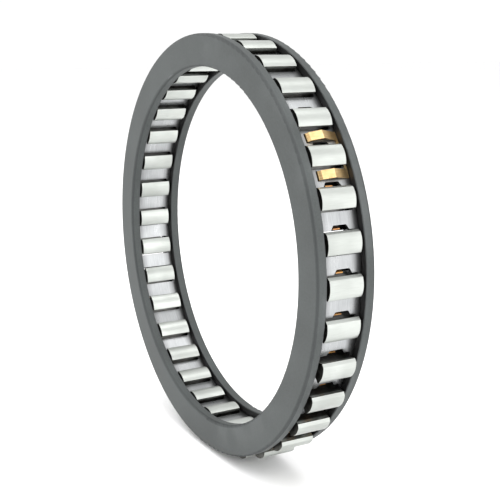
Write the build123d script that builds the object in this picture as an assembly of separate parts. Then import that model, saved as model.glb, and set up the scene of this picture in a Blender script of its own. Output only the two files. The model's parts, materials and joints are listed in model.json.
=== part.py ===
from build123d import *
import os
from math import cos, degrees, radians, sin

# Sprag one-way clutch (overrunning clutch insert), double-cage type, millimetres.
# The clutch axis lies along +Y, the origin is on that axis at mid width, +Z is up.
# Parts are drawn about a local Z axis and stood up onto Y when they are written.

# ---- driving dimensions -------------------------------------------------------
RACE_SPACE_OUTER = 55.5        # outer radius of the end rings
RACE_SPACE_INNER = 47.2        # bore radius of the end rings
WIDTH = 15.7                   # overall width over both end rings
SPRAG_COUNT = 34
FIRST_ANGLE = -0.2             # angle of sprag 1, degrees

RING_EDGE = 0.75               # rounding of the ring's outer corners
RING_LIP_EDGE = 0.25           # rounding at the free edge of each flange
RING_WEB = 1.3                 # thickness of the flat annular face
FLANGE_LENGTH = 2.6            # axial length of a ring's flanges
CAGE_CLEARANCE = 0.3           # play of the cages in the ring channels

CAGE_WALL = 0.9
OUTER_CAGE_RADIUS = 53.3       # outside of the outer cage
INNER_CAGE_RADIUS = 49.4       # inside of the inner cage
BAR_ANGLE = 4.5                # width of a cage bar, degrees
WINDOW_LENGTH = 9.4
WINDOW_CORNER = 0.5

SPRAG_LENGTH = 9.0
SPRAG_RADIUS = 51.35           # radius of the sprag's waist
OUTER_TOE = (2.9, -2.75)       # corners of the cam: out from the waist, along the rim
OUTER_BEVEL = (3.8, -2.15)
OUTER_CROWN = (4.2, 0.2)
OUTER_HEEL = (3.25, 2.7)
INNER_TOE = (-3.25, 2.4)
INNER_CROWN = (-3.95, 0.0)
INNER_HEEL = (-3.3, -2.4)
WAIST_HALF = 1.7
SPRAG_EDGE = 0.25
LOOSE_SPRAGS = range(3, 10)    # sprags that hang out of their windows by weight
LOOSE_DROP = 1.2

NOTCH_LENGTH = 4.9             # spring notch in the trailing edge of each bar
NOTCH_DEPTH = 1.15
NOTCH_TAPER = 0.7
NOTCH_CORNER = 0.4
NOTCH_PLACE = 0.45             # axial middle of each notch

SPRING_RADIUS = 51.2           # middle of the ribbon spring between the cages
SPRING_THICKNESS = 0.25
SPRING_BAR = 2.6
SPRING_END_HOOP = 1.1
TONGUE_WIDTH = 1.9
TONGUE_PLACE = -0.25           # axial middle of each tongue
TONGUE_RISE = 1.75
TONGUE_LEAN = 0.55

CLIP_SPRAGS = (6, 15, 23, 32)
CLIP_TO_ARM = 5.05             # half the angle between a clip's arms, degrees
CLIP_TURN = -0.35              # turn of the whole clip off its sprag's middle
CLIP_ARM_WIDTH = 2.15
CLIP_THICKNESS = 0.35
CLIP_START = -2.7              # near end of the arms
CLIP_END = 4.87                # far end of the arms, at the bridge
CLIP_RISE = 1.6                # height of an arm's crease over the cage
CLIP_CREASE = 0.9              # axial place of the crease
CLIP_STEP = 0.5                # height and length of the steep bend at the near end
CLIP_SEAT = 0.04
BRIDGE_LENGTH = 0.5
CLIP_SLOT_LENGTH = 0.8
CLIP_SLOT_PLAY = 0.3

# ---- worked-out dimensions ----------------------------------------------------
PITCH = 360.0 / SPRAG_COUNT
CAGE_HALF = WIDTH / 2 - RING_WEB - CAGE_CLEARANCE
WINDOW_ANGLE = PITCH - BAR_ANGLE
SAME_PLACE = 0.01              # corners closer than this to a line lie on it
STAND_UP = Rotation(-90, 0, 0)


def sprag_angle(number):
    return FIRST_ANGLE + (number - 1) * PITCH


def tube(outer, inner, low, high):
    ring = Circle(outer) - Circle(inner)
    return Pos(0, 0, low) * extrude(ring, high - low)


def facing(angle, radius, height=0.0):
    """A plane standing on a cylinder: its x is tangential and its z radial."""
    turn = radians(angle)
    spot = (radius * cos(turn), radius * sin(turn), height)
    return Plane(origin=spot, x_dir=(-sin(turn), cos(turn), 0), z_dir=(cos(turn), sin(turn), 0))


def end_ring():
    """Channel section revolved about Z, open towards +Z, with its face at z = 0."""
    outer_slot = OUTER_CAGE_RADIUS + CAGE_CLEARANCE
    inner_slot = INNER_CAGE_RADIUS - CAGE_CLEARANCE
    profile = Polyline(
        (RACE_SPACE_INNER, 0),
        (RACE_SPACE_OUTER, 0),
        (RACE_SPACE_OUTER, FLANGE_LENGTH),
        (outer_slot, FLANGE_LENGTH),
        (outer_slot, RING_WEB),
        (inner_slot, RING_WEB),
        (inner_slot, FLANGE_LENGTH),
        (RACE_SPACE_INNER, FLANGE_LENGTH),
        close=True,
    )
    section = make_face(profile)
    face_corners = section.vertices().filter_by(lambda v: abs(v.Y) < SAME_PLACE)
    section = fillet(face_corners, RING_EDGE)
    lip_corners = section.vertices().filter_by(lambda v: abs(v.Y - FLANGE_LENGTH) < SAME_PLACE)
    section = fillet(lip_corners, RING_LIP_EDGE)
    return revolve(Rotation(90, 0, 0) * section, Axis.Z, 360)


def near_end_ring():
    return Pos(0, 0, -WIDTH / 2) * end_ring()


def far_end_ring():
    return Pos(0, 0, WIDTH / 2) * Rotation(180, 0, 0) * end_ring()


def window_cutter(angle, radius):
    """A radial prism through the cage wall, with rounded corners."""
    wide = radians(WINDOW_ANGLE) * radius
    window = RectangleRounded(wide, WINDOW_LENGTH, WINDOW_CORNER)
    depth = 2 * CAGE_WALL
    return extrude(facing(angle, radius - depth) * window, 2 * depth)


def notch_cutter(angle):
    """A tapered notch that runs from the window into the bar before it."""
    edge = radians(WINDOW_ANGLE / 2) * OUTER_CAGE_RADIUS
    half = NOTCH_LENGTH / 2
    outline = Polyline(
        (-edge + CAGE_WALL, -half),
        (-edge, -half),
        (-edge - NOTCH_DEPTH, -half + NOTCH_TAPER),
        (-edge - NOTCH_DEPTH, half - NOTCH_TAPER),
        (-edge, half),
        (-edge + CAGE_WALL, half),
        close=True,
    )
    depth = 2 * CAGE_WALL
    place = facing(angle, OUTER_CAGE_RADIUS - depth, NOTCH_PLACE)
    floor_corners = make_face(outline).vertices().filter_by(lambda v: v.X < -edge - NOTCH_DEPTH / 2)
    rounded = fillet(floor_corners, NOTCH_CORNER)
    return extrude(place * rounded, 2 * depth)


def clip_arm_angles(number):
    middle = sprag_angle(number) + CLIP_TURN
    return (middle - CLIP_TO_ARM, middle + CLIP_TO_ARM)


def clip_slot_cutters():
    slot = Rectangle(CLIP_ARM_WIDTH + CLIP_SLOT_PLAY, CLIP_SLOT_LENGTH)
    depth = 2 * CAGE_WALL
    cutters = []
    for number in CLIP_SPRAGS:
        for angle in clip_arm_angles(number):
            place = facing(angle, OUTER_CAGE_RADIUS - depth, CLIP_START)
            cutters.append(extrude(place * slot, 2 * depth))
    return cutters


def outer_cage():
    band = tube(OUTER_CAGE_RADIUS, OUTER_CAGE_RADIUS - CAGE_WALL, -CAGE_HALF, CAGE_HALF)
    cutters = []
    for number in range(1, SPRAG_COUNT + 1):
        angle = sprag_angle(number)
        cutters.append(window_cutter(angle, OUTER_CAGE_RADIUS))
        cutters.append(notch_cutter(angle))
    return band - cutters - clip_slot_cutters()


def inner_cage():
    outside = INNER_CAGE_RADIUS + CAGE_WALL
    band = tube(outside, INNER_CAGE_RADIUS, -CAGE_HALF, CAGE_HALF)
    cutters = []
    for number in range(1, SPRAG_COUNT + 1):
        cutters.append(window_cutter(sprag_angle(number), outside))
    return band - cutters


def tongue():
    """A spring finger that leans out of the ribbon towards the next sprag's flank."""
    foot = (SPRING_RADIUS - SPRING_THICKNESS / 2, 0)
    shape = Polyline(
        foot,
        (foot[0], SPRING_THICKNESS),
        (foot[0] + TONGUE_RISE, SPRING_THICKNESS + TONGUE_LEAN),
        (foot[0] + TONGUE_RISE, TONGUE_LEAN),
        close=True,
    )
    leaf = extrude(make_face(shape), TONGUE_WIDTH)
    return Pos(0, 0, TONGUE_PLACE - TONGUE_WIDTH / 2) * leaf


def ribbon_spring():
    half = SPRING_THICKNESS / 2
    outer = SPRING_RADIUS + half
    inner = SPRING_RADIUS - half
    pieces = [
        tube(outer, inner, -CAGE_HALF, -CAGE_HALF + SPRING_END_HOOP),
        tube(outer, inner, CAGE_HALF - SPRING_END_HOOP, CAGE_HALF),
    ]
    leaf = tongue()
    tongue_turn = degrees((SPRING_BAR / 2 - SPRING_THICKNESS) / SPRING_RADIUS)
    for number in range(1, SPRAG_COUNT + 1):
        angle = sprag_angle(number) - PITCH / 2
        place = facing(angle, inner - half)
        bar = extrude(place * Rectangle(SPRING_BAR, 2 * CAGE_HALF), 2 * SPRING_THICKNESS)
        pieces.append(bar & tube(outer, inner, -CAGE_HALF, CAGE_HALF))
        pieces.append(Rotation(0, 0, angle + tongue_turn) * leaf)
    return pieces[0].fuse(*pieces[1:])


def sprag_profile():
    """Hourglass cam section: x is radial from the waist, y is along the pitch circle."""
    outline = [
        Line(OUTER_TOE, OUTER_BEVEL),
        ThreePointArc(OUTER_BEVEL, OUTER_CROWN, OUTER_HEEL),
        ThreePointArc(OUTER_HEEL, (0, WAIST_HALF), INNER_TOE),
        ThreePointArc(INNER_TOE, INNER_CROWN, INNER_HEEL),
        ThreePointArc(INNER_HEEL, (0, -WAIST_HALF), OUTER_TOE),
    ]
    face = make_face(outline)
    return fillet(face.vertices(), SPRAG_EDGE)


def sprag(profile, number):
    drop = LOOSE_DROP if number in LOOSE_SPRAGS else 0.0
    body = extrude(profile, SPRAG_LENGTH / 2, both=True)
    return Rotation(0, 0, sprag_angle(number)) * Pos(SPRAG_RADIUS + drop, 0, 0) * body


def clip_arm(angle):
    """A leaf creased over one cage bar, with its near tail dipping into the bar's slot."""
    low = OUTER_CAGE_RADIUS + CLIP_SEAT
    under = [
        (low, CLIP_START),
        (low + CLIP_STEP, CLIP_START + CLIP_STEP),
        (low + CLIP_RISE - CLIP_THICKNESS, CLIP_CREASE),
        (low, CLIP_END),
    ]
    over = [(out + CLIP_THICKNESS, along) for out, along in reversed(under)]
    section = Rotation(90, 0, 0) * make_face(Polyline(*under, *over, close=True))
    leaf = extrude(section, CLIP_ARM_WIDTH / 2, both=True)
    tail = Box(CAGE_WALL + CLIP_THICKNESS, CLIP_ARM_WIDTH, CLIP_THICKNESS)
    tail_middle = low + CLIP_THICKNESS - (CAGE_WALL + CLIP_THICKNESS) / 2
    return Rotation(0, 0, angle) * (leaf + Pos(tail_middle, 0, CLIP_START) * tail)


def drag_clip(number):
    """Two bowed arms joined by a bridge past the far end of the sprag between them."""
    low = OUTER_CAGE_RADIUS + CLIP_SEAT
    arms = [clip_arm(angle) for angle in clip_arm_angles(number)]
    half_span = CLIP_TO_ARM + degrees(CLIP_ARM_WIDTH / 2 / low)
    bridge_start = CLIP_END - BRIDGE_LENGTH / 2
    band = tube(low + CLIP_THICKNESS, low, bridge_start, bridge_start + BRIDGE_LENGTH)
    wedge = sector(half_span)
    bridge = Rotation(0, 0, sprag_angle(number) + CLIP_TURN) * (band & wedge)
    return bridge.fuse(*arms)


def sector(half_span):
    reach = 2 * RACE_SPACE_OUTER
    turn = radians(half_span)
    corner = reach * cos(turn)
    rise = reach * sin(turn)
    flat = make_face(Polyline((0, 0), (corner, -rise), (corner, rise), close=True))
    return extrude(flat, WIDTH, both=True)


def write(name, shape):
    export_step(STAND_UP * shape, "parts/" + name + ".step")


def main():
    os.makedirs("parts", exist_ok=True)
    write("near_end_ring", near_end_ring())
    write("far_end_ring", far_end_ring())
    write("outer_cage", outer_cage())
    write("inner_cage", inner_cage())
    write("ribbon_spring", ribbon_spring())
    profile = sprag_profile()
    for number in range(1, SPRAG_COUNT + 1):
        write(f"sprag_{number:02d}", sprag(profile, number))
    for index, number in enumerate(CLIP_SPRAGS, start=1):
        write(f"drag_clip_{index}", drag_clip(number))


main()
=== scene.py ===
import json

import bpy
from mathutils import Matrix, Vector


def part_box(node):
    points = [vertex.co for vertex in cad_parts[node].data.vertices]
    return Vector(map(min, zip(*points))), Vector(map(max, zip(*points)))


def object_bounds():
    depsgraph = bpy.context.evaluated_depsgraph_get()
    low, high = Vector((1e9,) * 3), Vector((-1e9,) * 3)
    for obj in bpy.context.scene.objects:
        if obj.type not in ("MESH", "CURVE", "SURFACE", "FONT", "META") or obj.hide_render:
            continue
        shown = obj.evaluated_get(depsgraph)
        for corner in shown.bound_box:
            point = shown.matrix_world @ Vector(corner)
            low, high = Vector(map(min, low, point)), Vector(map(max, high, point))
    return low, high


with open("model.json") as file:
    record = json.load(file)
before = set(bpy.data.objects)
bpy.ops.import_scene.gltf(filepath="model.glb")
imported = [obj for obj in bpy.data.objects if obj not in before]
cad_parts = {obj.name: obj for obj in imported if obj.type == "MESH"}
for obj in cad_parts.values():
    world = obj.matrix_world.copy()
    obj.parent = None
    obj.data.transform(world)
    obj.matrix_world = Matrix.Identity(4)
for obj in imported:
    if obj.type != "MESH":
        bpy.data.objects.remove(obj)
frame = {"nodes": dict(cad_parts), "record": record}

CAD_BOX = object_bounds()

# ---- driving values, in metres and linear colour ------------------------------
MM = 0.001
CAGE_WALL = 0.9 * MM
SKIN = 0.05 * MM                             # depth of paint past a stated radius
STRIP_RADIUS = 51.4 * MM                     # the ribbon's fingers stand outside this; the strip inside gets near-black painted shade
RING_LOW, RING_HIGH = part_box("near_end_ring")
FAR_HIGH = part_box("far_end_ring")[1]
RING_RADIUS = (RING_HIGH.x - RING_LOW.x) / 2
WIDTH = FAR_HIGH.y - RING_LOW.y
OUTER_CAGE_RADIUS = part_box("outer_cage")[1].x
INNER_CAGE_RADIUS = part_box("inner_cage")[1].x

CAMERA_PLACE = (4.157, -2.092, 0.997)        # in ring radii, measured from the near face
CAMERA_AIM = Vector((-0.8502, 0.4817, -0.2122))
CAMERA_LENS = 71.73
SENSOR = 36.0
CAMERA_CLIP = 0.01

RING_DARK = (0.045, 0.0505, 0.0495)
RING_LIGHT = (0.073, 0.081, 0.080)
RING_WORN = (0.20, 0.21, 0.215)
# darker painted shade for the ring's chamfers and roundings
RING_ROUNDING_SHADE = (0.028, 0.031, 0.032)
# near-black painted shade for gap faces and hidden faces between parts
GAP_SHADE_BLACK = (0.010, 0.010, 0.010)
SPRAG_BRIGHT = (0.525, 0.548, 0.52)
SPRAG_DULL = (0.405, 0.422, 0.40)
# dark paint for sprag ends and flanks, painted shade on the flanks deep in the windows
SPRAG_SIDE_DARK = (0.035, 0.034, 0.028)
CAGE_BRIGHT = (0.46, 0.47, 0.475)
CAGE_DULL = (0.32, 0.33, 0.335)
# painted shade for the cage's faces square to the axis and its ends by the flanges
CAGE_PAINTED_SHADE = (0.12, 0.12, 0.12)
STRAW = (0.80, 0.42, 0.13)
STRAW_BLUE = (0.45, 0.20, 0.09)
BRASS_LIGHT = (0.66, 0.48, 0.24)
BRASS_DARK = (0.38, 0.24, 0.10)
FLOOR = (0.965, 0.965, 0.965)
FLOOR_SPECK = tuple(0.985 * c for c in FLOOR)
FLOOR_SIZE = 6.0

GRAIN_DEPTH = 0.03 * MM                      # phosphate crystals and turning marks
LINE_DEPTH = 0.012 * MM                      # grinding and rolling lines
SPRING_LINE_DEPTH = 0.01 * MM
CAGE_SHADE_START = 2.6 * MM                  # painted shade on the cage starts here along the axis
CAGE_SHADE_END = 5.0 * MM

# noise scales: per metre for the clouds and grains, a finer pattern for a larger number
RING_GRAIN, RING_CLOUD = 2600, 70
SPRAG_TONE, SPRAG_SPOTS = 95, 700
CAGE_CLOUD = 160
SPRING_DRIFT, SPRING_LINES = 240, 2400
BRASS_TARNISH = 420
FLOOR_CLOUD = 60
TURNING_NOISE = 2.2                          # over a vector stretched by the scales below
LINE_NOISE = 1.0
TURNING_ALONG, TURNING_ACROSS = 12.0, 900.0  # marks run along the rim
GRINDING_ACROSS, GRINDING_AXIAL = 5200.0, 260.0
ROLLING_ALONG, ROLLING_AXIAL = 150.0, 4200.0
LEAF_ALONG, LEAF_AXIAL = 4200.0, 220.0

SOFTBOXES = (                                # name, place, size, watts
    ("overhead", (0.15, -0.10, 0.75), (0.9, 0.9), 6),
    ("right_side", (0.70, 0.10, 0.25), (0.6, 0.6), 2.5),
    ("left_front", (-0.45, -0.60, 0.30), (0.5, 0.7), 2),
)
WORLD_COLOUR = (1, 1, 1, 1)
WORLD_STRENGTH = 1.04


class Nodes:
    """A short way to add and join shader nodes in one material."""

    def __init__(self, name):
        self.material = bpy.data.materials.new(name)
        self.material.use_nodes = True
        self.tree = self.material.node_tree
        self.shader = self.tree.nodes["Principled BSDF"]

    def add(self, kind, **values):
        node = self.tree.nodes.new(kind)
        for key, value in values.items():
            setattr(node, key, value)
        return node

    def join(self, output, target):
        self.tree.links.new(output, target)

    def math(self, operation, first, second=None):
        node = self.add("ShaderNodeMath", operation=operation)
        for index, value in enumerate((first, second)):
            if value is None:
                continue
            if isinstance(value, (int, float)):
                node.inputs[index].default_value = value
            else:
                self.join(value, node.inputs[index])
        return node.outputs[0]

    def blend(self, first, first_share, second, second_share):
        """Sum of two values, each times its share."""
        first_part = self.math("MULTIPLY", first, first_share)
        return self.math("ADD", first_part, self.math("MULTIPLY", second, second_share))

    def mix(self, amount, first, second):
        node = self.add("ShaderNodeMix", data_type="RGBA")
        self.join(amount, node.inputs[0])
        for index, value in ((6, first), (7, second)):
            if isinstance(value, tuple):
                node.inputs[index].default_value = (*value, 1)
            else:
                self.join(value, node.inputs[index])
        return node.outputs[2]

    def place(self):
        return self.add("ShaderNodeTexCoord").outputs["Object"]

    def axes(self):
        split = self.add("ShaderNodeSeparateXYZ")
        self.join(self.place(), split.inputs[0])
        return split.outputs

    def round_ring(self):
        """Distance along the rim, radius, and place along the axis, all in metres."""
        x, y, z = self.axes()
        squares = self.math("ADD", self.math("MULTIPLY", x, x), self.math("MULTIPLY", z, z))
        radius = self.math("SQRT", squares)
        turn = self.math("ARCTAN2", z, x)
        return self.math("MULTIPLY", turn, RING_RADIUS), radius, y

    def vector(self, x, y, z):
        node = self.add("ShaderNodeCombineXYZ")
        for index, value in enumerate((x, y, z)):
            if isinstance(value, (int, float)):
                node.inputs[index].default_value = value
            else:
                self.join(value, node.inputs[index])
        return node.outputs[0]

    def stretched(self, *rows):
        """A vector of two or three values, each times its scale, so that a noise draws lines."""
        parts = [self.math("MULTIPLY", value, scale) for value, scale in rows]
        return self.vector(*parts, *[0.0] * (3 - len(parts)))

    def noise(self, vector, scale, detail, roughness):
        node = self.add("ShaderNodeTexNoise")
        self.join(vector, node.inputs["Vector"])
        node.inputs["Scale"].default_value = scale
        node.inputs["Detail"].default_value = detail
        node.inputs["Roughness"].default_value = roughness
        return node.outputs[0]

    def ramp(self, value, low, high, to_low=0.0, to_high=1.0):
        node = self.add("ShaderNodeMapRange")
        self.join(value, node.inputs["Value"])
        ends = {"From Min": low, "From Max": high, "To Min": to_low, "To Max": to_high}
        for name, number in ends.items():
            node.inputs[name].default_value = number
        return node.outputs[0]

    def bump(self, height, strength, distance):
        node = self.add("ShaderNodeBump")
        self.join(height, node.inputs["Height"])
        node.inputs["Strength"].default_value = strength
        node.inputs["Distance"].default_value = distance
        self.join(node.outputs[0], self.shader.inputs["Normal"])

    def facing(self):
        """How squarely the surface faces along the axis and along the radius, 0 to 1 each."""
        normal = self.add("ShaderNodeTexCoord").outputs["Normal"]
        split = self.add("ShaderNodeSeparateXYZ")
        self.join(normal, split.inputs[0])
        x, _, z = self.axes()
        out = self.add("ShaderNodeVectorMath", operation="NORMALIZE")
        self.join(self.vector(x, 0.0, z), out.inputs[0])
        dot = self.add("ShaderNodeVectorMath", operation="DOT_PRODUCT")
        self.join(out.outputs[0], dot.inputs[0])
        self.join(normal, dot.inputs[1])
        along_axis = self.math("ABSOLUTE", split.outputs[1])
        return along_axis, self.math("ABSOLUTE", dot.outputs["Value"])

    def faces_along_axis(self, start, full):
        """1 on faces square to the clutch axis, 0 elsewhere."""
        return self.ramp(self.facing()[0], start, full)

    def between(self, value, low, high):
        above = self.math("GREATER_THAN", value, low)
        return self.math("MULTIPLY", above, self.math("LESS_THAN", value, high))

    def worn_edges(self, start, full):
        """Rises on sharp outer edges, from the mesh's own pointiness."""
        geometry = self.add("ShaderNodeNewGeometry")
        return self.ramp(geometry.outputs["Pointiness"], start, full)

    def finish(self, colour, roughness, metallic):
        self.join(colour, self.shader.inputs["Base Color"])
        self.join(roughness, self.shader.inputs["Roughness"])
        self.shader.inputs["Metallic"].default_value = metallic
        return self.material


def phosphated_ring():
    """Matte dark phosphate with a fine grain and rubbed edges. Gap faces get near-black painted shade."""
    n = Nodes("phosphated_ring")
    along, radius, axial = n.round_ring()
    grain = n.noise(n.place(), RING_GRAIN, detail=3, roughness=0.6)
    cloud = n.noise(n.place(), RING_CLOUD, detail=4, roughness=0.5)
    turned = n.noise(n.stretched((along, TURNING_ALONG), (radius, TURNING_ACROSS), (axial, TURNING_ACROSS)),
                     TURNING_NOISE, detail=3, roughness=0.5)
    tone = n.blend(grain, 0.45, cloud, 0.55)
    colour = n.mix(n.ramp(tone, 0.36, 0.64), RING_DARK, RING_LIGHT)
    wear = n.math("MULTIPLY", n.worn_edges(0.52, 0.60), n.ramp(cloud, 0.45, 0.62))
    colour = n.mix(n.math("MULTIPLY", wear, 0.5), colour, RING_WORN)
    # the flange walls facing into the channel get near-black painted shade
    lip = abs(RING_HIGH.y) + SKIN
    inside_lip = n.math("LESS_THAN", n.math("ABSOLUTE", axial), lip)
    gap_shade = n.math("MULTIPLY", inside_lip, n.faces_along_axis(0.5, 0.7))
    colour = n.mix(gap_shade, colour, GAP_SHADE_BLACK)
    # chamfers and roundings, between axial and radial faces, get a darker painted shade
    square = n.facing()[0]
    rounding_shade = n.math("MULTIPLY", n.ramp(square, 0.10, 0.35), n.ramp(square, 0.98, 0.80))
    colour = n.mix(n.math("MULTIPLY", rounding_shade, 0.55), colour, RING_ROUNDING_SHADE)
    height = n.blend(grain, 0.6, turned, 0.4)
    n.bump(height, strength=0.25, distance=GRAIN_DEPTH)
    return n.finish(colour, n.ramp(tone, 0.3, 0.7, 0.48, 0.62), metallic=0.35)


def ground_sprag():
    """Ground hard steel with lines along the axis. Faces turned off the radius, the sprag ends and flanks,
    are painted dark, as painted shade on the flanks deep in the windows.
    """
    n = Nodes("ground_sprag")
    along, radius, axial = n.round_ring()
    lines = n.noise(n.stretched((along, GRINDING_ACROSS), (axial, GRINDING_AXIAL), (radius, GRINDING_ACROSS)),
                    LINE_NOISE, detail=4, roughness=0.6)
    each = n.noise(n.place(), SPRAG_TONE, detail=2, roughness=0.5)
    spots = n.noise(n.place(), SPRAG_SPOTS, detail=3, roughness=0.55)
    tone = n.blend(lines, 0.28, each, 0.72)
    colour = n.mix(n.ramp(tone, 0.35, 0.65), SPRAG_DULL, SPRAG_BRIGHT)
    colour = n.mix(n.math("MULTIPLY", n.ramp(spots, 0.66, 0.74), 0.35), colour, SPRAG_DULL)
    # faces turned off the radius are painted dark, a little patchy: painted shade on the flanks in the
    # windows
    off_radius_dark = n.ramp(n.facing()[1], 0.48, 0.36)
    patchy = n.ramp(spots, 0.2, 0.6, 0.85, 1.0)
    colour = n.mix(n.math("MULTIPLY", off_radius_dark, patchy), colour, SPRAG_SIDE_DARK)
    n.bump(lines, strength=0.10, distance=LINE_DEPTH)
    return n.finish(colour, n.ramp(tone, 0.3, 0.7, 0.42, 0.33), metallic=0.9)


def rolled_cage():
    """Bright strip with rolling lines round the ring, with painted shade on faces square to the axis and
    towards its ends, and near-black painted shade between the cages."""
    n = Nodes("rolled_cage")
    along, radius, axial = n.round_ring()
    rolling = n.noise(n.stretched((along, ROLLING_ALONG), (axial, ROLLING_AXIAL)),
                      LINE_NOISE, detail=4, roughness=0.6)
    cloud = n.noise(n.place(), CAGE_CLOUD, detail=3, roughness=0.5)
    tone = n.blend(rolling, 0.55, cloud, 0.45)
    colour = n.mix(n.ramp(tone, 0.36, 0.64), CAGE_DULL, CAGE_BRIGHT)
    # faces square to the axis get painted shade
    colour = n.mix(n.math("MULTIPLY", n.faces_along_axis(0.5, 0.8), 0.8), colour, CAGE_PAINTED_SHADE)
    # painted shade darkens the cage towards each flange
    flange_shade = n.ramp(n.math("ABSOLUTE", axial), CAGE_SHADE_START, CAGE_SHADE_END, 0.0, 0.85)
    colour = n.mix(flange_shade, colour, CAGE_PAINTED_SHADE)
    # faces between the two cages get near-black painted shade
    between_cages = n.between(radius, INNER_CAGE_RADIUS - SKIN, OUTER_CAGE_RADIUS - CAGE_WALL + SKIN)
    colour = n.mix(between_cages, colour, GAP_SHADE_BLACK)
    n.bump(rolling, strength=0.15, distance=LINE_DEPTH)
    return n.finish(colour, n.ramp(tone, 0.3, 0.7, 0.38, 0.24), metallic=0.9)


def tempered_spring():
    """Straw to brown temper colours that drift along the strip, with near-black painted shade below the
    fingers.
    """
    n = Nodes("tempered_spring")
    drift = n.noise(n.place(), SPRING_DRIFT, detail=3, roughness=0.5)
    lines = n.noise(n.place(), SPRING_LINES, detail=2, roughness=0.5)
    radius = n.round_ring()[1]
    colour = n.mix(n.ramp(drift, 0.38, 0.66), STRAW, STRAW_BLUE)
    # the strip inside STRIP_RADIUS gets near-black painted shade; the fingers keep their temper colours
    colour = n.mix(n.math("LESS_THAN", radius, STRIP_RADIUS), colour, GAP_SHADE_BLACK)
    n.bump(lines, strength=0.15, distance=SPRING_LINE_DEPTH)
    return n.finish(colour, n.ramp(lines, 0.3, 0.7, 0.28, 0.42), metallic=0.75)


def satin_brass():
    """Rolled brass leaf: lines along the leaf and a browner tarnish in places."""
    n = Nodes("satin_brass")
    along, _, axial = n.round_ring()
    lines = n.noise(n.stretched((along, LEAF_ALONG), (axial, LEAF_AXIAL)),
                    LINE_NOISE, detail=4, roughness=0.6)
    tarnish = n.noise(n.place(), BRASS_TARNISH, detail=4, roughness=0.55)
    tone = n.blend(lines, 0.4, tarnish, 0.6)
    colour = n.mix(n.ramp(tone, 0.36, 0.66), BRASS_LIGHT, BRASS_DARK)
    n.bump(lines, strength=0.15, distance=LINE_DEPTH)
    return n.finish(colour, n.ramp(tone, 0.3, 0.7, 0.26, 0.42), metallic=0.92)


def dress():
    """Gives every CAD node the material of its slot."""
    looks = {
        "ring_steel": phosphated_ring(),
        "sprag_steel": ground_sprag(),
        "cage_steel": rolled_cage(),
        "spring_steel": tempered_spring(),
        "clip_brass": satin_brass(),
    }
    for row in frame["record"]["subparts"]:
        piece = frame["nodes"][row["node"]]
        piece.data.materials.clear()
        piece.data.materials.append(looks[row["material_slot"]])


def floor_material():
    n = Nodes("pale_floor")
    speck = n.noise(n.place(), FLOOR_CLOUD, detail=3, roughness=0.5)
    colour = n.mix(n.ramp(speck, 0.3, 0.7), FLOOR, FLOOR_SPECK)
    return n.finish(colour, n.ramp(speck, 0.3, 0.7, 0.75, 0.85), metallic=0.0)


def floor():
    low = CAD_BOX[0][2]
    bpy.ops.mesh.primitive_plane_add(size=FLOOR_SIZE, location=(0, 0, low))
    plane = bpy.context.object
    plane.name = "floor"
    plane.data.materials.append(floor_material())


def camera():
    place = Vector(CAMERA_PLACE) * RING_RADIUS + Vector((0, -WIDTH / 2, 0))
    data = bpy.data.cameras.new("camera")
    data.lens = CAMERA_LENS
    data.sensor_width = SENSOR
    data.clip_start = CAMERA_CLIP
    eye = bpy.data.objects.new("camera", data)
    bpy.context.scene.collection.objects.link(eye)
    eye.location = place
    eye.rotation_euler = CAMERA_AIM.to_track_quat("-Z", "Y").to_euler()
    bpy.context.scene.camera = eye


def softbox(name, place, size, watts):
    data = bpy.data.lights.new(name, "AREA")
    data.shape = "RECTANGLE"
    data.size, data.size_y = size
    data.energy = watts
    lamp = bpy.data.objects.new(name, data)
    bpy.context.scene.collection.objects.link(lamp)
    lamp.location = place
    lamp.rotation_euler = (-Vector(place)).to_track_quat("-Z", "Y").to_euler()


def lights():
    for box in SOFTBOXES:
        softbox(*box)
    world = bpy.data.worlds.new("studio")
    world.use_nodes = True
    sky = world.node_tree.nodes["Background"]
    sky.inputs["Color"].default_value = WORLD_COLOUR
    sky.inputs["Strength"].default_value = WORLD_STRENGTH
    bpy.context.scene.world = world


bpy.context.scene.view_settings.view_transform = "Standard"
camera()
floor()
lights()
dress()
